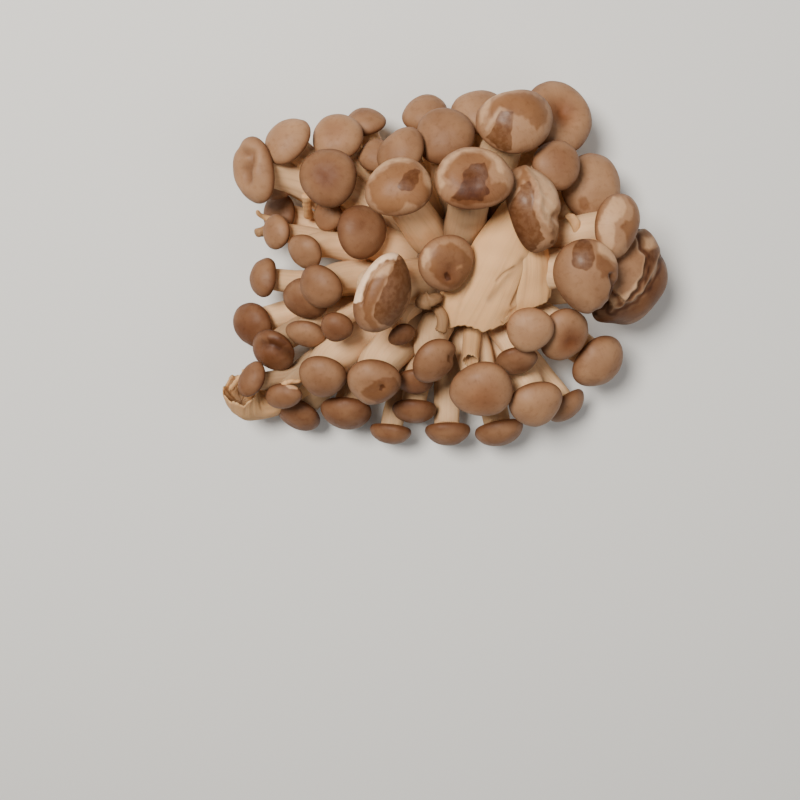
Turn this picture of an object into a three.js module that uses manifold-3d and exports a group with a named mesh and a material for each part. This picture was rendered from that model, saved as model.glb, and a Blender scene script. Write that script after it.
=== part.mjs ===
// A cluster of young beech mushrooms: about fifty stems that grew from one trimmed base.
// Millimetres, +Z up. The cluster stands on the flat cut of its base, caps upwards and outwards.
// The cream flesh (base, stems, gills) is one grown body; each brown cap is a body of its own.
import * as THREE from 'three';
import { mergeVertices } from 'three/addons/utils/BufferGeometryUtils.js';
import Module from 'manifold-3d';

const wasm = await Module();
wasm.setup();

// Driving dimensions, mm unless the name says otherwise.
const gap = 0.3; // between a cap and the gills under it
// The foot that the stems have grown together into: radius at its widest, height at its middle.
// Its cut is flat out to the radius flat, and beyond that curls up by a share of the way.
const base = { x: 2, y: -4, radius: 23, height: 26, sides: 22, flat: 17.5, curl: 0.1 };
const cap = {
  domeShare: 0.66, // height of the dome over the cap's radius
  lipShare: 0.12, // how far the rolled rim hangs below its widest line
  recessShare: 0.04, // height of the underside inside the rim
  recessRadius: 0.82,
  wave: 0.03, // unevenness of the rim
  tone: 0.3,
};
// Stems: the neck's radius over the cap's, the root's over the neck's, how far along its length
// a stem keeps the direction of each end, and the least room under it in mm.
const stem = { steps: 3, neckShare: 0.58, rootSwell: 1.2, reach: 0.36, room: 1.5 };
// Gills, as shares of the cap's radius; pleat is how far each valley is drawn in.
const gills = { radiusShare: 0.79, pleat: 0.2, depthShare: 0.36, fineFrom: 12 };
// How crowded caps give way: clearance in mm, and shares of a step taken in each round.
const settle = { rounds: 300, clearance: 0.35, level: 0.6, pull: 0.03, stemPush: 0.04, floor: 1.5 };

// Every mushroom: where the middle of its rim is, the cap's width, which way it leans
// (degrees from +X towards +Y) and how far it leans from upright.
// Options, lengths as shares of the cap's radius: dome (its height), dimple, fold (how far the
// long ends droop), frill (waves of the rim), neck (the stem's radius at the top); oval and turn
// (length over width and the way the long side lies), tone (0 pale, 1 dark).
const mushrooms = {
  far_left: [
    { x: -49.3, y: 25.6, z: 22, width: 15.5, towards: 185, lean: 42, oval: 1.22, turn: 100, dimple: 0.14 },
    { x: -43.2, y: 30.8, z: 25, width: 13, towards: 130, lean: 42, oval: 1.12, turn: 40 },
    { x: -43, y: 25, z: 18, width: 12.5, towards: 170, lean: 20, tone: 0.4 },
    { x: -45.5, y: 14.5, z: 11.5, width: 12, towards: 165, lean: 50, tone: 0.6 },
    { x: -46.5, y: 9, z: 21, width: 9.5, towards: 170, lean: 45, tone: 0.5 },
    { x: -33, y: 14, z: 20, width: 8.5, towards: 170, lean: 30, tone: 0.5 },
  ],
  back_left: [
    { x: -31.8, y: 31.5, z: 23, width: 13.5, towards: 110, lean: 28, dimple: 0.06 },
    { x: -32, y: 24, z: 31, width: 15, towards: 150, lean: 10, dimple: 0.06, tone: 0.1 },
    { x: -23.5, y: 37, z: 16, width: 11.3, towards: 100, lean: 60 },
    { x: -21, y: 29.5, z: 22, width: 9, towards: 120, lean: 25, tone: 0.6 },
    { x: -12, y: 29.5, z: 28.5, width: 12.5, towards: 130, lean: 30, oval: 1.15, turn: 45 },
    { x: -6.5, y: 40.5, z: 19, width: 12.5, towards: 100, lean: 48 },
  ],
  back: [
    { x: -2.5, y: 34, z: 26.5, width: 15.5, towards: 110, lean: 28 },
    { x: 7, y: 41, z: 20.5, width: 14.5, towards: 90, lean: 46 },
    {
      x: 13.5, y: 35, z: 36.5, width: 17.8,
      towards: 60, lean: 14, oval: 1.25, turn: 10, fold: 0.1, tone: 0.7,
    },
    {
      x: 29.5, y: 36.8, z: 23, width: 20,
      towards: 60, lean: 30, oval: 1.14, turn: 80, dimple: 0.3, dome: 0.5, tone: 0.4,
    },
    { x: 26.8, y: 26.8, z: 30, width: 13, towards: 30, lean: 20 },
    {
      x: 6, y: 26.3, z: 40, width: 18,
      towards: 90, lean: 28, oval: 1.18, turn: 0, dimple: 0.1, neck: 0.6, tone: 0.8,
    },
    {
      x: -12.4, y: 21, z: 37.5, width: 16,
      towards: 110, lean: 22, oval: 1.15, turn: 15, neck: 0.62, tone: 0.5,
    },
  ],
  right: [
    { x: 36, y: 16.8, z: 24, width: 18, towards: 40, lean: 22, oval: 1.12, turn: 100, tone: 0.2 },
    { x: 41.4, y: 11.4, z: 34, width: 15, towards: 10, lean: 30, oval: 1.3, turn: 70, tone: 0.4 },
    {
      x: 48, y: -5.5, z: 26, width: 24,
      towards: -20, lean: 26, oval: 1.25, turn: 75, fold: 0.18, dome: 0.5, frill: 0.05, tone: 0.9,
    },
    { x: 33, y: 1.6, z: 36.5, width: 18, towards: 250, lean: 12, oval: 1.2, turn: 100, tone: 0.4 },
    { x: 29.3, y: -18, z: 26, width: 15, towards: 310, lean: 30, oval: 1.12, turn: 100, dimple: 0.14 },
    { x: 41, y: -26.5, z: 18.5, width: 16, towards: 320, lean: 36 },
    { x: 20.8, y: -15.4, z: 33, width: 12.3, towards: 270, lean: 10, tone: 0.1 },
    { x: 19.5, y: -25.5, z: 23, width: 11.5, towards: 280, lean: 50, tone: 0.5 },
  ],
  front: [
    { x: 10.2, y: -32.8, z: 27, width: 17, towards: 268, lean: 20, tone: 0.6 },
    { x: 22.8, y: -37.3, z: 24, width: 15, towards: 290, lean: 30, neck: 0.66 },
    {
      x: -4.4, y: -24, z: 31.5, width: 13,
      towards: 310, lean: 36, oval: 1.15, turn: 70, neck: 0.7, tone: 0.6,
    },
    { x: -9.5, y: -32, z: 21.5, width: 10.5, towards: 270, lean: 50, tone: 0.8 },
    { x: -13, y: -17, z: 32, width: 7.5, towards: 300, lean: 45, tone: 0.8 },
    { x: -21, y: -30, z: 30, width: 14.6, towards: 268, lean: 28, neck: 0.78, dimple: 0.08, tone: 0.6 },
    { x: -34, y: -29.5, z: 26.5, width: 13.3, towards: 258, lean: 28, neck: 0.86, tone: 0.6 },
    { x: -11, y: -40, z: 11.5, width: 12.5, towards: 268, lean: 58, tone: 0.7 },
    { x: 0, y: -45, z: 11, width: 13, towards: 272, lean: 62, tone: 0.6 },
    { x: -29, y: -42, z: 15, width: 14.5, towards: 262, lean: 50, tone: 0.7 },
    { x: -42, y: -43.5, z: 11, width: 13.5, towards: 240, lean: 52, tone: 0.7 },
    { x: 15, y: -48, z: 13, width: 14, towards: 282, lean: 60, tone: 0.4 },
    { x: -16, y: -49, z: 10.5, width: 12, towards: 262, lean: 64, tone: 0.6 },
    { x: 34, y: -41, z: 11.5, width: 12.5, towards: 310, lean: 60, tone: 0.4 },
  ],
  middle: [
    {
      x: -15.8, y: -3.8, z: 41, width: 18.5,
      towards: -20, lean: 40, oval: 1.3, turn: 70, neck: 0.7, tone: 0.8,
    },
    { x: -3.8, y: 1.6, z: 38.5, width: 15, towards: -30, lean: 22, dimple: 0.1, neck: 0.7, tone: 0.6 },
    { x: -23.5, y: 10, z: 31, width: 14, towards: 10, lean: 28, neck: 0.74, tone: 0.4 },
  ],
  left: [
    { x: -38.5, y: 4.5, z: 27, width: 10, towards: 220, lean: 35, neck: 0.7, tone: 0.4 },
    { x: -34, y: -4, z: 32, width: 12, towards: 215, lean: 28, neck: 0.7, tone: 0.5 },
    { x: -38, y: -10.3, z: 25.5, width: 12.5, towards: 240, lean: 32, tone: 0.6 },
    { x: -50, y: -3.8, z: 19, width: 10.8, towards: 165, lean: 62, dome: 0.85, tone: 0.6 },
    { x: -53, y: -19, z: 17, width: 13, towards: 200, lean: 35, tone: 0.6 },
    { x: -40, y: -19.5, z: 15, width: 10.8, towards: 255, lean: 50, tone: 0.7 },
    { x: -30, y: -14.5, z: 35, width: 8.5, towards: 250, lean: 20, tone: 0.8 },
    { x: -47.5, y: -25.8, z: 19, width: 12.8, towards: 225, lean: 36, fold: 0.15, tone: 0.7 },
    { x: -53.4, y: -30.4, z: 24, width: 9, towards: 150, lean: 40, oval: 1.35, turn: 60, tone: 0.7 },
    { x: -45.4, y: -35, z: 21, width: 9.8, towards: 250, lean: 35, oval: 1.35, turn: 35, tone: 0.5 },
  ],
};

// The broad stem whose foot tore loose: it rises to the folded cap right of the middle.
const tornStem = {
  cap: {
    x: 20.5, y: 15.5, z: 38.5, width: 17.5,
    towards: 30, lean: 18, oval: 1.56, turn: 105, fold: 0.2, tone: 0.8,
  },
  foot: [6, -12.5, 26.5],
  broad: [10.5, 5.6], // half widths at the foot and at the neck
  thick: [5.5, 4.8],
  sides: 16,
  steps: 5,
  upTo: 0.96, // share of its route, so that it ends inside the gills
  ragged: 1.8,
};

// Stems that end in a tear: the route to the torn end, and half widths where it starts and ends.
const brokenStems = [
  {
    route: [[19, 9, 31], [21, 3, 31], [20.5, -3, 29.5], [19.5, -9.5, 27]],
    broad: [5, 7.2],
    thick: [4.4, 3.6],
    ragged: 0.9,
  },
  {
    route: [[6, -6, 15], [7, -13, 19], [6.5, -19, 23], [5.5, -24.3, 31]],
    broad: [3.4, 2.3],
    thick: [3.4, 2.3],
    ragged: 0.6,
  },
  {
    route: [[-8, -12, 10], [-34, -30, 6.5], [-59, -50, 6.5], [-58, -35, 20]],
    broad: [6, 4.8],
    thick: [6, 4.8],
    ragged: 1.1,
  },
];

const colours = { paleCap: 0xae8c71, darkCap: 0x7e4e2b, flesh: 0xd6b797 };

const up = new THREE.Vector3(0, 0, 1);
const vector = ([x, y, z]) => new THREE.Vector3(x, y, z);
const mix = (a, b, share) => a + (b - a) * share;

// The way a cap faces.
function axisOf({ towards, lean }) {
  const around = THREE.MathUtils.degToRad(towards);
  const tilt = THREE.MathUtils.degToRad(lean);
  return new THREE.Vector3(
    Math.sin(tilt) * Math.cos(around),
    Math.sin(tilt) * Math.sin(around),
    Math.cos(tilt),
  );
}

// Turns a cap's own axes, its long way along x and its dome along z, to where it stands.
function stance(m) {
  const turn = THREE.MathUtils.degToRad(m.turn ?? 0);
  const along = new THREE.Vector3(Math.cos(turn), Math.sin(turn), 0);
  along.addScaledVector(m.axis, -along.dot(m.axis)).normalize();
  const across = new THREE.Vector3().crossVectors(m.axis, along);
  return new THREE.Matrix4().makeBasis(along, across, m.axis).setPosition(m.centre);
}

// The middle of the gills, a gap below the cap's underside.
function gillsTop(m) {
  return m.centre.clone().addScaledVector(m.axis, cap.recessShare * m.radius - gap);
}

// A cubic curve from inside the base that leaves outwards and meets the cap square on. Under a
// low cap it turns more sharply, so that it doesn't reach the ground.
function stemRoute(m) {
  const heart = new THREE.Vector3(base.x, base.y, -8);
  const top = gillsTop(m);
  const out = top.clone().sub(heart);
  const level = Math.hypot(out.x, out.y);
  const root = new THREE.Vector3(
    base.x + out.x * Math.min(0.3, 12 / level),
    base.y + out.y * Math.min(0.3, 12 / level),
    Math.max(m.neck * stem.rootSwell + 0.5, THREE.MathUtils.clamp(0.4 * m.centre.z, 5, 15)),
  );
  const reach = stem.reach * root.distanceTo(top);
  const above = top.z - m.neck * stem.rootSwell - stem.room;
  const leave = root.clone().addScaledVector(out.normalize(), reach);
  const arrive = top.clone().addScaledVector(m.axis, -Math.min(reach, above / m.axis.z));
  return new THREE.CubicBezierCurve3(root, leave, arrive, top);
}

// The torn stem's curve, from its loose foot to the folded cap.
function tornRoute() {
  const foot = vector(tornStem.foot);
  const top = gillsTop(tornOne);
  const leave = foot.clone().lerp(top, 0.4).add(new THREE.Vector3(0, 0, 1));
  const arrive = top.clone().addScaledVector(tornOne.axis, -9);
  return new THREE.CubicBezierCurve3(foot, leave, arrive, top);
}

// How far a cap reaches in a direction from the middle of its rim: half a spheroid above the
// rim, a short rolled lip below it.
function reachOf(m, direction) {
  const facing = direction.dot(m.axis);
  const sideways = Math.sqrt(Math.max(0, 1 - facing * facing)) * m.widest;
  return facing > 0 ? Math.hypot(sideways, m.dome * facing) : sideways - m.lip * facing;
}

// The clearest direction between two bodies, and the room along it.
function clearest(between, directions, reachA, reachB) {
  let best = { room: -Infinity };
  for (const direction of directions) {
    const n = direction.dot(between) < 0 ? direction.clone().negate() : direction.clone();
    const room = n.dot(between) - reachA(n) - reachB(n.clone().negate());
    if (room > best.room) best = { room, n };
  }
  return best;
}

// Crowded caps push each other apart as they grow, and lift off the stems below them. They
// give way in height more than sideways, so that each stays near its place.
function settleCaps(all) {
  const away = (m, n, distance) => {
    m.centre.x += n.x * distance * settle.level;
    m.centre.y += n.y * distance * settle.level;
    m.centre.z += n.z * distance;
  };
  for (let round = 0; round < settle.rounds; round++) {
    const pull = round < settle.rounds / 2 ? settle.pull : 0;
    for (const m of all) m.stemPoints = m.route().getPoints(8).slice(1, 8);
    for (const [i, a] of all.entries()) {
      for (const b of all.slice(i + 1)) {
        const between = b.centre.clone().sub(a.centre);
        if (between.length() > a.widest + b.widest + 3) continue;
        const tries = [between.clone().normalize(), a.axis, b.axis, up];
        const { room, n } = clearest(between, tries, (d) => reachOf(a, d), (d) => reachOf(b, d));
        const short = settle.clearance - room;
        if (short > 0) {
          away(a, n, -short / 2);
          away(b, n, short / 2);
        }
      }
      for (const b of all) {
        if (b === a) continue;
        for (const point of b.stemPoints) {
          const between = point.clone().sub(a.centre);
          if (between.length() > a.widest + b.neck + 3) continue;
          const tries = [between.clone().normalize(), a.axis];
          const { room, n } = clearest(between, tries, (d) => reachOf(a, d), () => b.neck);
          if (room < 0) away(a, n, room * settle.stemPush);
        }
      }
      a.centre.lerp(a.place, pull);
      const lowest = a.centre.z - reachOf(a, up.clone().negate());
      if (lowest < settle.floor) a.centre.z += settle.floor - lowest;
    }
  }
}

// Gives a mushroom a name, its directions and the sizes that its cap's width sets.
function grow(m, name) {
  const radius = m.width / 2;
  return {
    ...m,
    name,
    radius,
    unlike: m.x + m.y, // sets off its waves from those of its neighbours
    widest: radius * Math.sqrt(m.oval ?? 1) * (1 + cap.wave + (m.frill ?? 0)),
    dome: radius * (m.dome ?? cap.domeShare),
    lip: radius * cap.lipShare,
    neck: radius * (m.neck ?? stem.neckShare),
    axis: axisOf(m),
    place: new THREE.Vector3(m.x, m.y, m.z),
    centre: new THREE.Vector3(m.x, m.y, m.z),
  };
}

// Bends a point of a round cap into this one's shape: long one way, uneven at the rim,
// dimpled on top and drooping at its two long ends.
function shapeCap(point, m, dimpled) {
  const share = Math.hypot(point.x, point.y) / m.radius;
  const angle = Math.atan2(point.y, point.x);
  const frills = (m.frill ?? 0) * Math.cos(5 * angle);
  const uneven = 1 + cap.wave * Math.cos(3 * angle + m.unlike) + frills;
  const oval = Math.sqrt(m.oval ?? 1);
  point.x *= uneven * oval;
  point.y *= uneven / oval;
  if (dimpled) point.z -= (m.dimple ?? 0) * m.radius * Math.exp(-((share / 0.36) ** 2));
  point.z -= (m.fold ?? 0) * m.radius * (point.x / m.radius) ** 2;
  return point;
}

function eachPoint(geometry, change) {
  const position = geometry.attributes.position;
  const point = new THREE.Vector3();
  for (let i = 0; i < position.count; i++) {
    point.fromBufferAttribute(position, i);
    change(point);
    position.setXYZ(i, point.x, point.y, point.z);
  }
  return geometry;
}

// Revolves a list of [radius, height] about +Z, from the lower pole to the upper one.
function turned(profile, sides) {
  const points = profile.map(([r, h]) => new THREE.Vector2(r, h));
  return new THREE.LatheGeometry(points, sides).rotateX(Math.PI / 2);
}

// A closed solid: shared vertices merged, slivers at the poles dropped, faces out.
function solidOf(geometry) {
  geometry.deleteAttribute('normal');
  geometry.deleteAttribute('uv');
  const merged = mergeVertices(geometry, 1e-4);
  const index = merged.index.array;
  const kept = [];
  for (let i = 0; i < index.length; i += 3) {
    const [a, b, c] = index.slice(i, i + 3);
    if (a !== b && b !== c && c !== a) kept.push([a, b, c]);
  }
  const make = (triangles) => new wasm.Manifold(new wasm.Mesh({
    numProp: 3,
    vertProperties: new Float32Array(merged.attributes.position.array),
    triVerts: new Uint32Array(triangles.flat()),
  }));
  const solid = make(kept);
  return solid.volume() > 0 ? solid : make(kept.map(([a, b, c]) => [a, c, b]));
}

function geometryOf(solid) {
  const mesh = solid.getMesh();
  const geometry = new THREE.BufferGeometry();
  geometry.setAttribute('position', new THREE.BufferAttribute(mesh.vertProperties, 3));
  geometry.setIndex(new THREE.BufferAttribute(mesh.triVerts, 1));
  return geometry;
}

// A cap about its own axes: domed on top, its rim rolled down round a shallow recess.
function capGeometry(m, grown = 0) {
  const size = (m.radius + grown) / m.radius;
  const sides = m.width > 17 ? 16 : m.width > 12 ? 12 : 10;
  const bends = m.width > 12 ? [0, 0.5, 0.92, 1.3] : [0, 0.7, 1.22];
  const dome = bends.map((bend) => [m.radius * Math.cos(bend), m.dome * Math.sin(bend)]);
  const recess = cap.recessShare * m.radius;
  const profile = [
    [0, recess],
    [cap.recessRadius * m.radius, recess],
    [0.93 * m.radius, -m.lip],
    ...dome,
    [0, m.dome],
  ];
  return eachPoint(turned(profile, sides), (p) => {
    shapeCap(p, m, p.z > m.dome * 0.2);
    p.multiplyScalar(size);
  });
}

// A straight cylinder of unit radius bent along a curve, so that each of its rows lies across
// the curve. shapeRow first gives a row its size and outline, with x as near to the direction
// along as the curve lets it be, y square to that and z onwards.
function bentCylinder(curve, { sides, steps, along, shapeRow, shareAt }) {
  const rows = Array.from({ length: steps + 1 }, (_, row) => {
    const onwards = curve.getTangent(shareAt(row));
    const x = along.clone().addScaledVector(onwards, -along.dot(onwards)).normalize();
    const y = new THREE.Vector3().crossVectors(onwards, x);
    return new THREE.Matrix4().makeBasis(x, y, onwards).setPosition(curve.getPoint(shareAt(row)));
  });
  const straight = new THREE.CylinderGeometry(1, 1, 1, sides, steps);
  straight.rotateX(Math.PI / 2).rotateZ(Math.PI / 2);
  return eachPoint(straight, (p) => {
    const row = Math.round((p.z + 0.5) * steps);
    p.z = 0;
    shapeRow(p, row);
    p.applyMatrix4(rows[row]);
  });
}

// A stem and the gills at its top: the flesh spreads from the neck towards the cap's rim in
// radial pleats. Below the neck, two or three sides of the cylinder share a corner of the stem.
function stemGeometry(m, curve) {
  const corners = m.width < gills.fineFrom ? 7 : 8;
  const sides = corners * (m.width < gills.fineFrom ? 2 : 3);
  const neckAt = 1 - (gills.depthShare * m.radius) / curve.getLength();
  const rim = gills.radiusShare * m.radius - gap / 2;
  const last = stem.steps + 1;
  const along = new THREE.Vector3().setFromMatrixColumn(stance(m), 0);
  const shapeRow = (p, row) => {
    const turns = Math.atan2(p.y, p.x) / (2 * Math.PI);
    if (row === last) {
      const valley = Math.round(turns * sides) % 2 !== 0;
      p.multiplyScalar(rim * (valley ? 1 - gills.pleat : 1));
      shapeCap(p, m, false);
      return;
    }
    const corner = (Math.round(turns * corners + 0.1) / corners) * 2 * Math.PI;
    const middle = Math.hypot(p.x, p.y) < 0.5;
    const width = middle ? 0 : m.neck * mix(stem.rootSwell, 0.95, row / stem.steps);
    p.set(Math.cos(corner) * width, Math.sin(corner) * width, 0);
  };
  const shareAt = (row) => (row === last ? 1 : (neckAt * row) / stem.steps);
  return bentCylinder(curve, { sides, steps: last, along, shapeRow, shareAt });
}

// A stem broken off at one of its end rows, which is left ragged. Its half widths run from one
// end to the other, broad lying level and thick square to it.
function brokenGeometry(curve, { sides, steps, upTo = 1, broad, thick, ragged, tornRow }) {
  const along = curve.getPoint(1).sub(curve.getPoint(0)).cross(up).normalize();
  const shapeRow = (p, row) => {
    const angle = Math.atan2(p.y, p.x);
    const rim = Math.hypot(p.x, p.y) > 0.5 && row === tornRow;
    const tear = rim ? ragged * (0.5 + 0.5 * Math.cos(3 * angle + 1) + 0.5 * Math.cos(8 * angle)) : 0;
    const share = row / steps;
    p.set(p.x * mix(...broad, share), p.y * mix(...thick, share), tornRow ? tear : -tear);
  };
  return bentCylinder(curve, { sides, steps, along, shapeRow, shareAt: (row) => (upTo * row) / steps });
}

// The foot of the cluster, where all the stems have grown together: lobed, and reaching a
// little below where it is cut.
function baseGeometry() {
  const { radius: r, height: h } = base;
  const belly = [[r * 1.04, h * 0.22], [r * 0.86, h * 0.58], [r * 0.48, h * 0.9]];
  const profile = [[0, -1], [r * 0.9, -1], ...belly, [0, h]];
  return eachPoint(turned(profile, base.sides), (p) => {
    const angle = Math.atan2(p.y, p.x);
    const lobes = 1 + 0.07 * Math.cos(3 * angle + 0.6) + 0.05 * Math.cos(7 * angle);
    p.set(base.x + p.x * lobes, base.y + p.y * lobes, p.z);
  });
}

// What the knife leaves: a flat hexagon to stand on, with six shallow facets round it.
function trimGeometry() {
  const { flat, height, curl } = base;
  const room = new THREE.CylinderGeometry(flat + height / curl, flat, height, 6);
  return room.rotateX(Math.PI / 2).rotateZ(0.4).translate(base.x, base.y, height / 2);
}

const named = Object.entries(mushrooms).flatMap(([side, list]) => (
  list.map((m, i) => grow(m, `cap_${side}_${i + 1}`))
));
const tornOne = grow(tornStem.cap, 'cap_on_torn_stem');
const grown = [...named, tornOne];
for (const m of grown) m.route = m === tornOne ? tornRoute : () => stemRoute(m);
settleCaps(grown);

const caps = grown.map((m) => ({ m, matrix: stance(m), solid: solidOf(capGeometry(m)) }));

const flesh = [solidOf(baseGeometry()).intersect(solidOf(trimGeometry()))];
for (const { m } of caps) flesh.push(solidOf(stemGeometry(m, m.route())));
flesh.push(solidOf(brokenGeometry(tornRoute(), { ...tornStem, tornRow: 0 })));
for (const { route, ...shape } of brokenStems) {
  const curve = new THREE.CubicBezierCurve3(...route.map(vector));
  flesh.push(solidOf(brokenGeometry(curve, { sides: 12, steps: 4, tornRow: 4, ...shape })));
}

// A stem that would run into a cap beside it is pressed in there, clear of the cap.
let body = wasm.Manifold.union(flesh);
for (const { m, matrix, solid } of caps) {
  if (solid.transform(matrix.elements).intersect(body).volume() < 1e-3) continue;
  const below = new THREE.Matrix4().makeTranslation(m.axis.clone().multiplyScalar(-0.7 * gap));
  body = body.subtract(solidOf(capGeometry(m, gap).applyMatrix4(matrix)));
  body = body.subtract(solidOf(capGeometry(m).applyMatrix4(matrix).applyMatrix4(below)));
}

function addMesh(group, name, geometry, color, roughness) {
  const mesh = new THREE.Mesh(geometry, new THREE.MeshStandardMaterial({ color, roughness, metalness: 0 }));
  mesh.name = name;
  group.add(mesh);
  return mesh;
}

const cluster = new THREE.Group();
addMesh(cluster, 'base_stems_and_gills', geometryOf(body), colours.flesh, 0.7);
for (const { m, matrix, solid } of caps) {
  const tint = new THREE.Color(colours.paleCap).lerp(new THREE.Color(colours.darkCap), m.tone ?? cap.tone);
  const mesh = addMesh(cluster, m.name, geometryOf(solid), tint, 0.55);
  matrix.decompose(mesh.position, mesh.quaternion, mesh.scale);
}

// The origin is under the middle of the whole, at the height of the cut face it stands on.
const box = new THREE.Box3().setFromObject(cluster, true);
const middle = box.getCenter(new THREE.Vector3()).setZ(box.min.z);
for (const mesh of cluster.children) mesh.position.sub(middle);

export default cluster;
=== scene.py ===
# Beech mushroom cluster: brown domed caps on cream stems that fan out from one trimmed base.
# Every cap keeps the place and form of its CAD node; stems, gills and torn ends are finer
# versions of the fused flesh. Metres throughout, with mm as a unit.
import math

import bpy
import numpy as np
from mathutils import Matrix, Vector


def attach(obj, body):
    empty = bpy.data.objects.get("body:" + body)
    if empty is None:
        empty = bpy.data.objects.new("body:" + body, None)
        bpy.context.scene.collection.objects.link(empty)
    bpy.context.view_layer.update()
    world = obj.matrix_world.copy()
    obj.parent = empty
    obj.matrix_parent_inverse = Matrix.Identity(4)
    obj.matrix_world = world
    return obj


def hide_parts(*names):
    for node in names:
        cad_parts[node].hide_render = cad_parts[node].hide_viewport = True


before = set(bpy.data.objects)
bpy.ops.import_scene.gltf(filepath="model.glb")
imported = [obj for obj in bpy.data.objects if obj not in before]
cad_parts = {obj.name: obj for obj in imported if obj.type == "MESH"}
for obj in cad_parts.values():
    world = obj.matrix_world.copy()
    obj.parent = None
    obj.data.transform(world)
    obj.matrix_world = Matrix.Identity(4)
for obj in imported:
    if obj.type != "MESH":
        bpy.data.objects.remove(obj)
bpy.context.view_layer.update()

mm = 0.001
flesh = "base_stems_and_gills"

# The photograph's camera, nearly overhead with the front of the cluster at the bottom
view = {
    "target": (-0.01176, -0.03522, 0.020),
    "distance": 0.330,
    "tilt": 13.0,        # degrees from straight down, towards the back
    "lens": 53.06,       # for Blender's usual sensor, 36 mm wide
    "pixels": 800,       # the photograph is as high as it is wide
}
tilt = math.radians(view["tilt"])
toRight = np.array([1.0, 0.0, 0.0])
toTop = np.array([0.0, math.cos(tilt), -math.sin(tilt)])
toCamera = np.array([0.0, math.sin(tilt), math.cos(tilt)])
eye = view["target"] + toCamera * view["distance"]
focus = view["lens"] / 36 * view["pixels"]


# Where the camera sees points: pixels from the photograph's left edge and from its top
def inPhoto(points):
    offset = (points - eye) * focus / ((eye - points) @ toCamera)[..., None]
    return view["pixels"] / 2 + np.stack([offset @ toRight, -(offset @ toTop)], -1)


# The point that the camera sees at a pixel and that has a given height in mm
def fromPhoto(across, down, height):
    middle = view["pixels"] / 2
    ray = toRight * (across - middle) + toTop * (middle - down) - toCamera * focus
    return eye + ray * (height * mm - eye[2]) / ray[2]


# Small tools for vectors, held as arrays whose last axis is x, y, z

def unit(vectors):
    return vectors / np.linalg.norm(vectors, axis=-1, keepdims=True)


def dot(a, b):
    return (a * b).sum(-1, keepdims=True)


def mix(a, b, share):
    return a + (b - a) * share


def steps(count, low=0.0, high=1.0):
    return np.linspace(low, high, count)


def ease(share):
    share = np.clip(share, 0, 1)
    return share * share * (3 - 2 * share)


# Gentle swells: the mean of a few sine waves that cross space in random directions, with
# wavelengths near the one asked for. The same seed always gives the same swells.
def swells(points, wavelength, seed, count=7):
    chance = np.random.default_rng(seed)
    total = np.zeros(points.shape[:-1])
    for _ in range(count):
        wave = unit(chance.normal(size=3)) * 2 * math.pi / (wavelength * chance.uniform(0.7, 1.5))
        total += np.sin(points @ wave + chance.uniform(0, 2 * math.pi))
    return total / math.sqrt(count)


# Distance in a plane from each place to the nearest of some edges, given by start and span,
# and the steps from every start
def edgeDistance(places, starts, spans):
    offset = places[..., None, :] - starts
    along = np.clip((offset * spans).sum(-1) / (spans * spans).sum(-1), 0, 1)
    return np.linalg.norm(offset - along[..., None] * spans, axis=-1).min(-1), offset


def lineDistance(places, line):
    line = np.array(line)
    return edgeDistance(places, line[:-1], np.diff(line, axis=0))[0]


# How far each place lies inside a closed outline, negative outside: the distance to the edge,
# with its sign from whether a line to the right crosses the outline an odd number of times
def insideBy(places, outline):
    starts = np.array(outline)
    spans = np.roll(starts, -1, axis=0) - starts
    far, offset = edgeDistance(places, starts, spans)
    below = offset[..., 1] < 0
    slope = spans[:, 0] / np.where(spans[:, 1] == 0, 1, spans[:, 1])
    crossed = (below != np.roll(below, -1, axis=-1)) & (offset[..., 0] < offset[..., 1] * slope)
    return np.where(crossed.sum(-1) % 2 == 1, far, -far)


# The corners of a CAD node, each once, and a table of which are joined by an edge
def nodeCorners(name):
    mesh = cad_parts[name].data
    places = np.empty(len(mesh.vertices) * 3)
    mesh.vertices.foreach_get("co", places)
    corners, which = np.unique(np.round(places.reshape(-1, 3), 6), axis=0, return_inverse=True)
    ends = np.empty(len(mesh.loops), int)
    mesh.loops.foreach_get("vertex_index", ends)
    return corners, which.reshape(-1)[ends].reshape(-1, 3)


# A cap's CAD corners as rings from its crown to its underside. The crown is the pole with the
# shortest edges; each ring is the set of corners one edge further on, sorted round the axis.
def capRings(name):
    corners, triangles = nodeCorners(name)
    joined = np.zeros((len(corners), len(corners)), bool)
    for a, b in ((0, 1), (1, 2), (2, 0)):
        joined[triangles[:, a], triangles[:, b]] = True
        joined[triangles[:, b], triangles[:, a]] = True
    far = np.linalg.norm(corners[:, None] - corners, axis=2)
    edges = joined.sum(0)
    meanEdge = np.where(edges > 8, (far * joined).sum(0) / edges, np.inf)
    seen = np.zeros(len(corners), bool)
    front = seen.copy()
    front[meanEdge.argmin()] = True
    rings = []
    while front.any():
        rings.append(corners[front])
        seen |= front
        front = joined[front].any(0) & ~seen
    crown, underside = rings[0][0], rings[-1][0]
    axis = unit(crown - underside)
    along = unit(rings[1][0] - crown - axis * dot(rings[1][0] - crown, axis))
    across = np.cross(axis, along)
    ordered = []
    for ring in rings[1:-1]:
        angle = np.arctan2((ring - crown) @ across, (ring - crown) @ along)
        ordered.append(ring[np.argsort(np.round(angle, 3) % (2 * math.pi))])
    return crown, np.array(ordered), underside


# A closed ring of corners as more points on the same smooth curve: its Fourier waves are
# kept and sampled finer, so circles and ovals come out exact.
def smoothAround(rings, count):
    waves = np.fft.rfft(rings, axis=1)
    return np.fft.irfft(waves, count, axis=1) * (count / rings.shape[1])


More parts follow.
